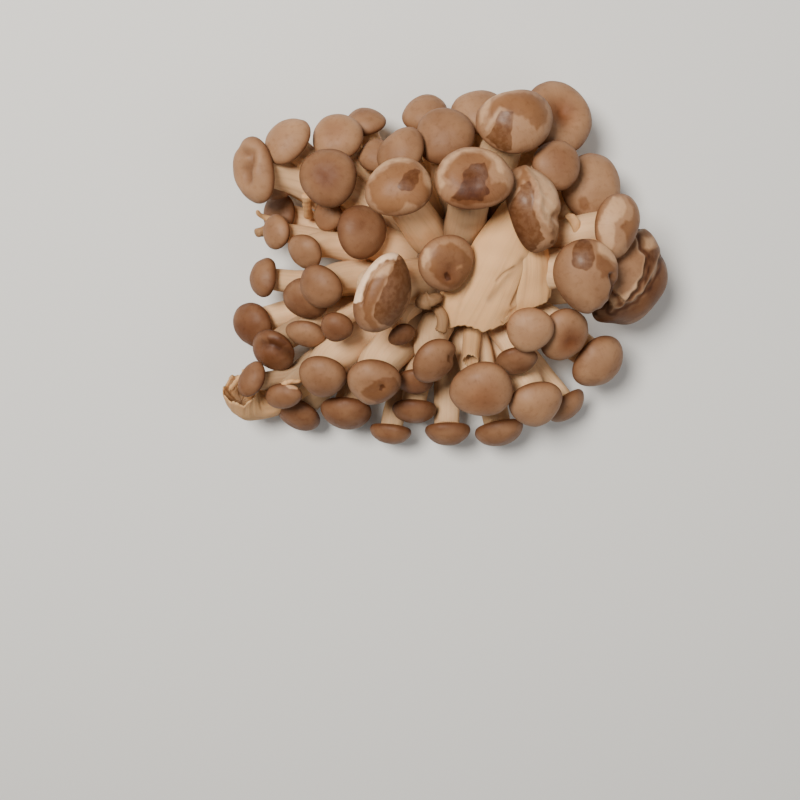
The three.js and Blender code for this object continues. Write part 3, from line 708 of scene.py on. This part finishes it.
# The skin of a cap: rows from crown to rim, round the rolled lip and in to the middle of the
# underside. Beyond the crown the opposite meridian continues each one, so the top is smooth.
def capGrid(cap, fine=1):
    columns = int(capLook["columns"] * fine / 2) * 2
    rings = smoothAround(cap["rings"], columns)
    crown = np.broadcast_to(cap["crown"], (1, columns, 3))
    underside = np.broadcast_to(cap["underside"], (1, columns, 3))
    opposite = np.roll(rings[:1], columns // 2, axis=1)
    rows = np.concatenate([opposite, crown, rings, underside])
    chords = np.linalg.norm(np.diff(rows, axis=0), axis=2).mean(1)
    knots = np.concatenate([[0], np.cumsum(chords)]) - chords[0]
    rimKnot, recessKnot = knots[-4], knots[-2]
    at = np.concatenate([
        steps(int(capLook["domeRows"] * fine) + 1, 0, rimKnot)[1:-1],
        steps(capLook["rimRows"], rimKnot, recessKnot),
        steps(5, recessKnot, knots[-1])[1:-1],
    ])
    grid = smoothAlong(rows, knots, at)
    share = np.broadcast_to((at / rimKnot)[:, None], grid.shape[:2])
    return grid, share


# Where the photograph shows each point of a cap. With a box, the places are stretched so that
# the cap as the camera sees it fills the box.
def placesOn(grid, box):
    places = inPhoto(grid)
    if box:
        low, high = places.min((0, 1)), places.max((0, 1))
        places = box[:2] + (places - low) / (high - low) * np.subtract(box[2:], box[:2])
    return places


def capSkinOf(cap, seed):
    settings = {**capLook, **capSettings.get(cap["name"], {})}
    grid, share = capGrid(cap, settings["fine"])
    radius = cap["radius"]
    normals = gridNormals(grid)
    if dot(normals[3, 0], cap["axis"])[0] < 0:
        normals = -normals
    radiusSeen = radius * focus / ((eye - cap["centre"]) @ toCamera)
    seen = placesOn(grid, settings.get("box")) / radiusSeen
    lift = swells(grid, settings["swellLength"] * radius * 2, seed) * settings["swell"]
    lift += swells(grid, 0.5 * radius, seed + 500) * 0.006
    shadeAndHighlight = np.zeros(share.shape)
    for width, height, line in settings.get("folds", []):
        near = np.exp(-(lineDistance(seen, np.array(line) / radiusSeen) / width) ** 2)
        lift += height * near
        # A sunken fold is darkened: painted shade in the crease
        shadeAndHighlight -= 4 * max(-height, 0) * near
    for place, size, height in settings.get("lumps", []):
        lift += height * np.exp(-((seen - np.array(place) / radiusSeen) ** 2).sum(-1) / size ** 2)
    serration = swells(grid, 0.24 * radius, seed + 60) * 0.02
    for height, outline in settings.get("petals", []):
        inside = insideBy(seen, np.array(outline) / radiusSeen) + serration
        lift += height * ease(inside / 0.09)
        # Painted highlight just inside the petal's edge and painted shadow just outside it
        shadeAndHighlight += np.exp(-((inside - 0.07) / 0.04) ** 2) - np.exp(-((inside + 0.03) / 0.05) ** 2)
    above = ease((1.15 - share) / 0.3)
    grid = grid + normals * (lift * radius * above)[..., None]
    top = np.where((share < 1.02) | (normals @ toCamera > 0.05), 0.0, -2.0)
    waver = swells(grid, 0.22 * radius, seed + 40) * 0.022
    dark = settings["crown"] * ease(1 - share / settings["crownWidth"])
    # Spots of painted shade, in dips and below lumps
    for place, size, strength in settings.get("paintedShades", []):
        dark = dark + strength * np.exp(-((seen - np.array(place) / radiusSeen) ** 2).sum(-1) / size ** 2)
    marks = {
        "share": share, "tone": np.full(share.shape, settings["tone"]),
        "crownDarkAndShade": np.minimum(dark, 1), "shadeAndHighlight": shadeAndHighlight * above,
    }
    for kind in ("wet", "brown", "pale", "cream"):
        depths = [insideBy(seen, np.array(outline) / radiusSeen) for outline in settings.get(kind, [])]
        marks[kind] = np.max(depths, axis=0) + waver + top if depths else np.full(share.shape, -2.0)
    # The drawn lines: thin streaks of painted highlight
    far = [lineDistance(seen, np.array(line) / radiusSeen) for line in settings.get("lines", [])]
    marks["paintedHighlight"] = 1 - np.min(far, axis=0) / settings["streakWidth"] + top if far else np.full(share.shape, -2.0)
    crown = cap["crown"] + normals[0].mean(0) * lift[0].mean() * radius
    return closedSkin(grid, crown, cap["underside"], marks)


capNames = [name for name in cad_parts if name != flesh]
caps = [readCap(name) for name in capNames]
for seed, cap in enumerate(caps):
    makePiece(cap["name"].replace("cap_", "skin_"), [capSkinOf(cap, seed)], capSkin, cap["name"])
print("caps made:", len(caps))


# Flesh: the base's centre is that of its cut face, the six lowest corners of the CAD
fleshCorners, _ = nodeCorners(flesh)
cutFace = fleshCorners[fleshCorners[:, 2] < 0.01 * mm]
cutFace = cutFace[np.linalg.norm(cutFace - cutFace.mean(0), axis=1) > 5 * mm]
baseCentre = cutFace.mean(0)
base = {
    "radius": 23 * mm,
    "height": 26 * mm,
    "flat": 17.5 * mm,
    "curl": 0.1,
    "columns": 160,
    "rows": 60,
}
stemLook = {
    "gap": 0.3 * mm,
    "recess": 0.04,      # the CAD's shares of a cap's radius, as are the next two
    "gillDepth": 0.36,
    "neck": 0.58,
    "rootSwell": 1.2,
    "reach": 0.36,
    "room": 1.5 * mm,
    "columns": 32,
    "rows": 26,
}


def bezier(points, t):
    a, b, c, d = points
    t = np.asarray(t)[:, None]
    return a * (1 - t) ** 3 + 3 * b * t * (1 - t) ** 2 + 3 * c * t * t * (1 - t) + d * t ** 3


def bezierSlope(points, t):
    a, b, c, d = points
    t = np.asarray(t)[:, None]
    return unit((b - a) * (1 - t) ** 2 + 2 * (c - b) * t * (1 - t) + (d - c) * t * t)


def curveLength(points):
    return np.linalg.norm(np.diff(bezier(points, steps(200)), axis=0), axis=1).sum()


# A stem's route, as in the CAD: it leaves the base outwards and meets the cap square on
def stemRoute(cap):
    heart = baseCentre - [0, 0, 8 * mm]
    top = cap["centre"] + cap["axis"] * (stemLook["recess"] * cap["radius"] - stemLook["gap"])
    out = top - heart
    level = math.hypot(out[0], out[1])
    neck = cap["neck"]
    root = baseCentre + out * [min(0.3, 12 * mm / level)] * [1, 1, 0]
    root[2] = max(neck * stemLook["rootSwell"] + 0.5 * mm, min(max(0.4 * cap["centre"][2], 5 * mm), 15 * mm))
    reach = stemLook["reach"] * np.linalg.norm(root - top)
    above = top[2] - neck * stemLook["rootSwell"] - stemLook["room"]
    arrive = top - cap["axis"] * min(reach, above / cap["axis"][2])
    return np.array([root, root + unit(out) * reach, arrive, top])


# A neck's radius, measured on the CAD: the flesh has a ring of corners square to the stem at
# the depth of the gills.
def measureNeck(cap):
    route = stemRoute(cap)
    t = [1 - stemLook["gillDepth"] * cap["radius"] / curveLength(route)]
    offset = fleshCorners - bezier(route, t)[0]
    onwards = bezierSlope(route, t)[0]
    height = offset @ onwards
    far = np.linalg.norm(offset - height[:, None] * onwards, axis=1)
    near = (abs(height) < 0.06 * mm) & (far < cap["radius"])
    return np.median(far[near]) / 0.95 if near.sum() > 3 else stemLook["neck"] * cap["radius"]


# A tube along a curve: each row is an oval square to the curve, broad one way and thick the
# other, where both are arrays of half widths for the rows and shape scales each point.
def tubeRows(route, t, along, broad, thick, shape=1.0, columns=32):
    onwards = bezierSlope(route, t)
    x = unit(along - onwards * dot(onwards, along))
    y = np.cross(onwards, x)
    angle = steps(columns + 1, 0, 2 * math.pi)[:-1]
    ovalX = np.cos(angle)[:, None] * x[:, None] * broad[:, None, None]
    ovalY = np.sin(angle)[:, None] * y[:, None] * thick[:, None, None]
    return bezier(route, t)[:, None] + (ovalX + ovalY) * shape


def addSwells(grid, wavelength, height, seed):
    middle = grid.mean(1, keepdims=True)
    return grid + unit(grid - middle) * (swells(grid, wavelength, seed) * height)[..., None]


def stemSkin(cap, seed):
    route = cap["route"]
    # How dark this stem is: its own brown, and for stems deep in the cluster painted shade
    brown = {**capLook, **capSettings.get(cap["name"], {})}["stem"]
    last = 1 - 0.15 * mm / curveLength(route)
    neckAt = 1 - stemLook["gillDepth"] * cap["radius"] / curveLength(route)
    t = np.concatenate([steps(stemLook["rows"], 0, neckAt), steps(4, neckAt, last)[1:]])
    along = cap["along"]
    width = cap["neck"] * np.interp(t, [0, neckAt, 1], [stemLook["rootSwell"], 0.95, 0.93])
    angle = steps(stemLook["columns"] + 1, 0, 2 * math.pi)[:-1]
    ribs = 1 + 0.014 * np.cos(5 * angle + seed) + 0.012 * np.cos(8 * angle + 2 * seed)
    grid = tubeRows(route, t, along, width, width, ribs[None, :, None], stemLook["columns"])
    grid = addSwells(grid, 9 * mm, 0.025 * cap["neck"], seed)
    # Darker towards the base: painted shade deep in the cluster, over the stem's own brown
    stainAndShade = np.broadcast_to(brown + (0.95 - brown) * ease((0.52 - t) / 0.42)[:, None], grid.shape[:2])
    return closedSkin(grid, bezier(route, t[:1])[0], bezier(route, t[-1:])[0], {"stainAndShade": stainAndShade})


# Gills: blades that run from the neck to the rim. The skin is a cone from the neck's ring to
# the cap's inner ring; every second column is a valley, drawn up towards the cap.
gillLook = {"pitch": 0.8 * mm, "rows": 7, "innerShare": 0.86, "outerShare": 0.975, "valley": 0.1}


def gillSkin(cap, seed):
    look = gillLook
    radius = cap["radius"]
    blades = int(2 * math.pi * 0.8 * radius / look["pitch"])
    rim = smoothAround(cap["rings"][-1:], 2 * blades)[0]
    hub = cap["underside"]
    rim = hub + (rim - hub) * look["outerShare"] - cap["axis"] * 0.1 * mm
    side = unit((rim - hub) - cap["axis"] * dot(rim - hub, cap["axis"]))
    neckAt = [1 - stemLook["gillDepth"] * radius / curveLength(cap["route"])]
    neckRing = bezier(cap["route"], neckAt)[0] + side * look["innerShare"] * cap["neck"]
    s = steps(look["rows"])[:, None, None]
    grid = mix(neckRing, rim, s) + cap["axis"] * (0.05 * radius * np.sin(math.pi * s))
    valley = (np.arange(2 * blades) % 2)[None, :, None] * np.sin(math.pi * np.clip(s, 0.04, 0.93)) ** 0.6
    grid = grid + cap["axis"] * valley * look["valley"] * radius
    # The valleys between blades are darker: painted shade between the gills
    stainAndShade = np.broadcast_to((np.arange(2 * blades) % 2)[None] * 0.5, grid.shape[:2])
    return closedSkin(grid, bezier(cap["route"], neckAt)[0], hub - cap["axis"] * 0.2 * mm, {"stainAndShade": stainAndShade})


# The base: a lobed profile turned about Z, ribbed where the stems run into it. Below, its cut
# face is flat out to a circle and curls up a little beyond it.
def baseSkin():
    r, h = base["radius"], base["height"]
    profile = np.array([[0.9 * r, -mm], [1.04 * r, 0.22 * h], [0.86 * r, 0.58 * h], [0.48 * r, 0.9 * h], [0, h]])
    knots = np.concatenate([[0], np.cumsum(np.linalg.norm(np.diff(profile, axis=0), axis=1))])
    at = steps(base["rows"] + 1, 0, knots[-1])[:-1]
    outline = smoothAlong(profile[:, None], knots, at)[:, 0]
    angle = steps(base["columns"] + 1, 0, 2 * math.pi)[:-1]
    lobes = 1 + 0.07 * np.cos(3 * angle + 0.6) + 0.05 * np.cos(7 * angle)
    ribs = 0.018 * np.cos(23 * angle + 2 * np.cos(3 * angle)) * ease(outline[:, 1] / (0.3 * h))[:, None]
    reach = outline[:, :1] * (lobes + ribs)
    cut = steps(12, 0.08, 0.97)[:, None] * reach[0]
    reach = np.vstack([cut, reach])
    height = np.concatenate([np.full(12, -mm), outline[:, 1]])[:, None]
    grid = np.stack([
        baseCentre[0] + reach * np.cos(angle), baseCentre[1] + reach * np.sin(angle),
        np.maximum(height, np.maximum(reach - base["flat"], 0) * base["curl"]),
    ], -1)
    side = ease(height[:, 0] / (0.2 * h))
    lump = swells(grid, 8 * mm, 77) * 0.35 * mm * side[:, None]
    grid = grid + unit(grid - (baseCentre + [0, 0, 0.3 * h])) * lump[..., None]
    stainAndShade = 0.2 + 0.65 * ease(height / (0.5 * h)) + 0.12 * swells(grid, 11 * mm, 78) * side[:, None]
    return closedSkin(grid, baseCentre, baseCentre + [0, 0, h], {"stainAndShade": np.clip(stainAndShade, 0, 1)})


for cap in caps:
    cap["neck"] = stemLook["neck"] * cap["radius"]
    cap["neck"] = measureNeck(cap)
    cap["route"] = stemRoute(cap)

# Torn stems. Foot and routes are millimetres in the CAD's terms, whose base stands at x 2,
# y -4, and a route that is seen has pixels of the photograph and a height in mm. broad and
# thick are half widths from the first end to the last. tear is how far the torn edge reaches
# from one side to the other; without it the edge has the CAD's waves, ragged high. creases
# have width, depth, how dark their painted shade is and a line, with width and line in pixels
# of the photograph.
fromCad = baseCentre - np.array([2, -4, 0]) * mm
tornStem = {
    "foot": [6, -12.5, 26.5], "broad": [10.5, 5.6], "thick": [5.5, 4.8], "ragged": 0.4,
    "tear": [[-1, -1.5], [-0.8, 1], [-0.52, 6.2], [-0.22, 2], [0.05, 0.6], [0.4, 1], [0.72, -2.5], [1, -6]],
    "creases": [
        [4.0, 0.3, 0.35, [[523, 261], [510, 276], [497, 292], [490, 300]]],
        [2.3, 0.6, 0.4, [[530, 262], [522, 285], [513, 305]]],
        [1.5, 0.4, 0.3, [[515, 268], [505, 273], [497, 281]]],
        [3.0, 0.2, 0.4, [[440, 303], [446, 317], [450, 333]]],
        [1.6, 0.3, 0.15, [[470, 283], [460, 300], [456, 318], [452, 330]]],
    ],
    "hollow": 0.35, "creased": 0.007, "columns": 192, "rows": 90,
}
brokenStems = {
    "sheared": {
        "route": [[19, 9, 31], [21, 3, 31], [20.5, -3, 29.5], [19.5, -9.5, 27]],
        "broad": [5, 7.2], "thick": [4.4, 3.6], "ragged": 0.2, "hollow": 0.3,
        "tear": [[-1, -3.5], [-0.4, -1], [0.5, 1.5], [1, 1.5]],
    },
    "stub": {
        "route": [[6, -6, 15], [7, -13, 19], [6.5, -19, 23], [5.5, -24.3, 31]],
        "broad": [3.4, 2.1], "thick": [3.4, 2.1], "ragged": 0.5, "hollow": 1.2, "stainAndShade": 0.28,
    },
    "corner": {
        "route": [[-8, -12, 10], [-34, -30, 6.5], [-59, -50, 6.5], [-58, -35, 20]],
        "broad": [6, 4.8], "thick": [6, 4.8], "ragged": 1.1, "hollow": 1.2, "stainAndShade": 0.22,
    },
    "thin": {
        "seen": [[433, 305, 26], [439, 309, 31], [446, 319, 32], [441, 330, 31]],
        "broad": [1.3, 1.6], "thick": [1.3, 1.6], "ragged": 0.1, "hollow": 1.0, "stainAndShade": 0.68,
        "columns": 40, "rows": 24,
    },
}


# A torn stem: an oval tube creased along its length, whose torn end is ragged by drawn or
# waved reaches and finer ones, then turns inwards to a sunken, fibrous floor.
def tornSkin(route, look, seed, torn="end"):
    columns, rows = look.get("columns", 96), look.get("rows", 50)
    broad, thick = np.array(look["broad"]) * mm, np.array(look["thick"]) * mm
    t = steps(rows)
    angle = steps(columns + 1, 0, 2 * math.pi)[:-1]
    along = unit(np.cross(route[-1] - route[0], [0, 0, 1.0]))
    chance = np.random.default_rng(seed)
    creases = sum(
        look.get("creased", 0.012) * chance.uniform(0.3, 1)
        * np.cos(k * angle + chance.uniform(0, 6) + chance.uniform(-1.5, 1.5) * t[:, None])
        for k in (3, 5, 7, 11, 16)
    )
    grid = tubeRows(route, t, along, mix(*broad, t), mix(*thick, t), (1 + creases)[..., None], columns)
    grid = addSwells(grid, 7 * mm, 0.12 * mm, seed)
    wave = look["ragged"] * (0.5 + 0.5 * np.cos(3 * angle + 1) + 0.5 * np.cos(8 * angle))
    if "tear" in look:
        wave = wave + np.interp(np.cos(angle), *np.array(look["tear"]).T)
    circle = np.stack([np.cos(angle), np.sin(angle), angle * 0], -1) * 20 * mm
    tear = (wave + 0.25 * swells(circle, 3 * mm, seed + 9)) * mm
    outwards = 1 if torn == "end" else -1
    onwards = bezierSlope(route, t) * outwards
    nearness = ease(1 - (1 - t if torn == "end" else t) * curveLength(route) / (9 * mm))
    grid = grid + onwards[:, None] * (tear * nearness[:, None])[..., None]
    stainAndShade = np.full(grid.shape[:2], look.get("stainAndShade", 0.03))
    seen = inPhoto(grid)
    for width, depth, dark, line in look.get("creases", []):
        near = np.exp(-(lineDistance(seen, line) / width) ** 2)
        # Painted shade along each crease
        stainAndShade = stainAndShade + dark * near
        grid = grid - unit(grid - grid.mean(1, keepdims=True)) * (near * depth * mm)[..., None]
    edge = grid[-1] if torn == "end" else grid[0]
    middle = edge.mean(0)
    inward = steps(14, 0, 0.96)[1:, None, None]
    depth = look["hollow"] * broad.mean() * np.sin(inward * math.pi / 2) ** 0.7
    floor = mix(edge, middle, inward) - onwards[-1 if torn == "end" else 0] * depth
    rough = swells(floor, 1.6 * mm, seed + 20) * 0.12 * mm * ease(inward[..., 0] * 4)
    floor = floor + onwards[0] * rough[..., None]
    # The sunken floor darkens towards its middle: painted shade in the hollow
    inside = np.broadcast_to(0.3 + 0.6 * inward[..., 0], floor.shape[:2])
    if torn == "end":
        grid, stainAndShade = np.concatenate([grid, floor]), np.concatenate([stainAndShade, inside])
        startPole, endPole = bezier(route, [0.0])[0], floor[-1].mean(0)
    else:
        grid, stainAndShade = np.concatenate([floor[::-1], grid]), np.concatenate([inside[::-1], stainAndShade])
        startPole, endPole = floor[-1].mean(0), bezier(route, [1.0])[0]
    return closedSkin(grid, startPole, endPole, {"stainAndShade": stainAndShade})


# Small buds and curled scraps that lie between stems and caps: tubes along a route with half
# widths from end to end, rounded off at both ends. A route's points are pixels of the
# photograph and a height in mm.
scraps = {
    "leftCurl": {"route": [[257, 210, 21], [259, 218, 17], [269, 219, 16], [283, 222, 18]],
                 "widths": [0.5, 0.8, 0.9, 0.9], "stainAndShade": 0.05},
    "leftBud": {"route": [[282, 224, 10], [270, 228, 12], [262, 231, 14], [256, 234, 15]],
                "widths": [0.8, 0.9, 1.7, 1.9, 1.6], "stainAndShade": 0.6},
    "innerBud": {"route": [[309, 218, 14], [307, 208, 20], [307, 201, 23], [307, 194, 25]],
                 "widths": [1.4, 1.2, 1.2, 1.5], "stainAndShade": 0.1},
    "curledFlap": {"route": [[419, 300, 31], [425, 302, 33], [433, 301, 34], [440, 296, 31]],
                   "widths": [2.0, 2.6, 2.3, 1.4], "stainAndShade": 0.75},
    "paleCurl": {"route": [[565, 218, 30], [570, 214, 31], [577, 221, 31], [577, 234, 29]],
                 "widths": [0.7, 1.1, 1.3, 1.0], "stainAndShade": 0.05},
    "paleScrap": {"route": [[590, 240, 37], [595, 243, 38], [601, 249, 38], [604, 256, 36]],
                  "widths": [0.5, 1.2, 1.4, 0.8], "stainAndShade": 0.08},
    "wedgeFlap": {"route": [[474, 315, 31], [484, 321, 30], [499, 323, 30], [509, 315, 31]],
                  "widths": [0.6, 1.7, 1.7, 0.6], "stainAndShade": 0.12},
    "cornerCurl": {"route": [[230, 391, 20], [235, 382, 24], [243, 377, 25], [244, 369, 25]],
                   "widths": [0.8, 0.8, 0.6, 0.6], "stainAndShade": 0.05},
    "cornerFlap": {"route": [[238, 385, 24], [244, 388, 25], [249, 394, 23], [252, 402, 20]],
                   "widths": [0.6, 0.8, 0.9, 0.7], "stainAndShade": 0.1},
    "clawRim": {"route": [[280, 387, 24], [285, 381, 26], [293, 381, 26], [301, 381, 24]],
                "widths": [0.6, 0.8, 0.8, 0.5], "stainAndShade": 0.05},
}


def scrapSkin(look, seed):
    route = np.array([fromPhoto(*point) for point in look["route"]])
    t = steps(36)
    rounding = np.sqrt(np.maximum(1 - (np.maximum(abs(2 * t - 1) - 0.8, 0) / 0.2) ** 2, 0.01))
    width = np.interp(t, steps(len(look["widths"])), look["widths"]) * rounding * mm
    grid = tubeRows(route, t, unit(np.array([1.0, 0.3, 0.2])), width, width * 0.75, columns=28)
    grid = addSwells(grid, 2.5 * mm, 0.12 * mm * rounding[:, None], seed)
    return closedSkin(grid, grid[0].mean(0), grid[-1].mean(0), {"stainAndShade": np.full(grid.shape[:2], look["stainAndShade"])})


def inCad(point):
    return fromCad + np.array(point) * mm


tornCap = next(cap for cap in caps if cap["name"] == "cap_on_torn_stem")
tornTop = tornCap["centre"] + tornCap["axis"] * (stemLook["recess"] * tornCap["radius"] - stemLook["gap"])
tornFoot = inCad(tornStem["foot"])
tornRoute = np.array([
    tornFoot, mix(tornFoot, tornTop, 0.4) + [0, 0, mm], tornTop - tornCap["axis"] * 9 * mm, tornTop,
])
tornCap["route"] = tornRoute

stems = [stemSkin(cap, seed) for seed, cap in enumerate(caps) if cap is not tornCap]
makePiece("stems", stems, stemFlesh, flesh)
makePiece("gills", [gillSkin(cap, seed) for seed, cap in enumerate(caps)], gillFlesh, flesh, smooth=False)
makePiece("trimmedBase", [baseSkin()], stemFlesh, flesh)
tornSkins = [tornSkin(tornRoute, tornStem, 3, "start")]
for seed, look in enumerate(brokenStems.values()):
    route = [fromPhoto(*point) for point in look["seen"]] if "seen" in look else map(inCad, look["route"])
    tornSkins.append(tornSkin(np.array(list(route)), look, 30 + seed))
makePiece("tornStems", tornSkins, tornFlesh, flesh)
scrapSkins = [scrapSkin(look, seed) for seed, look in enumerate(scraps.values())]
makePiece("budsAndCurls", scrapSkins, tornFlesh, flesh)
print("flesh made: stems, gills, base and torn stems")


# The stage: a pale floor, soft light from the upper left and a weaker fill
stage = {
    "floorSize": 3.0,
    "floorColour": (0.72, 0.72, 0.71, 1),
    "skyStrength": 0.14,
    "key": {"place": (-0.24, 0.26, 0.68), "size": 0.26, "watts": 9.0, "colour": (1.0, 0.95, 0.87)},
    "fill": {"place": (0.40, -0.10, 0.60), "size": 0.6, "watts": 1.4, "colour": (1.0, 0.97, 0.93)},
}


def addStage():
    bpy.ops.mesh.primitive_plane_add(size=stage["floorSize"])
    floor = bpy.context.object
    floor.name = "floor"
    material = bpy.data.materials.new("paleFloor")
    material.use_nodes = True
    surface = material.node_tree.nodes["Principled BSDF"].inputs
    surface["Base Color"].default_value = stage["floorColour"]
    surface["Roughness"].default_value = 0.7
    floor.data.materials.append(material)
    world = bpy.data.worlds.new("studio")
    world.use_nodes = True
    world.node_tree.nodes["Background"].inputs["Color"].default_value = (1, 1, 1, 1)
    world.node_tree.nodes["Background"].inputs["Strength"].default_value = stage["skyStrength"]
    bpy.context.scene.world = world
    for name in ("key", "fill"):
        light = bpy.data.lights.new(name, "AREA")
        light.shape = "DISK"
        light.size = stage[name]["size"]
        light.energy = stage[name]["watts"]
        light.color = stage[name]["colour"]
        lamp = bpy.data.objects.new(name, light)
        lamp.location = stage[name]["place"]
        lamp.rotation_euler = (-Vector(stage[name]["place"])).to_track_quat("-Z", "Y").to_euler()
        bpy.context.scene.collection.objects.link(lamp)


def addCamera():
    camera = bpy.data.objects.new("camera", bpy.data.cameras.new("camera"))
    camera.data.lens = view["lens"]
    camera.location = eye
    camera.rotation_euler = (-tilt, 0, 0)
    bpy.context.scene.collection.objects.link(camera)
    bpy.context.scene.camera = camera


addStage()
addCamera()
print("stage and camera set")
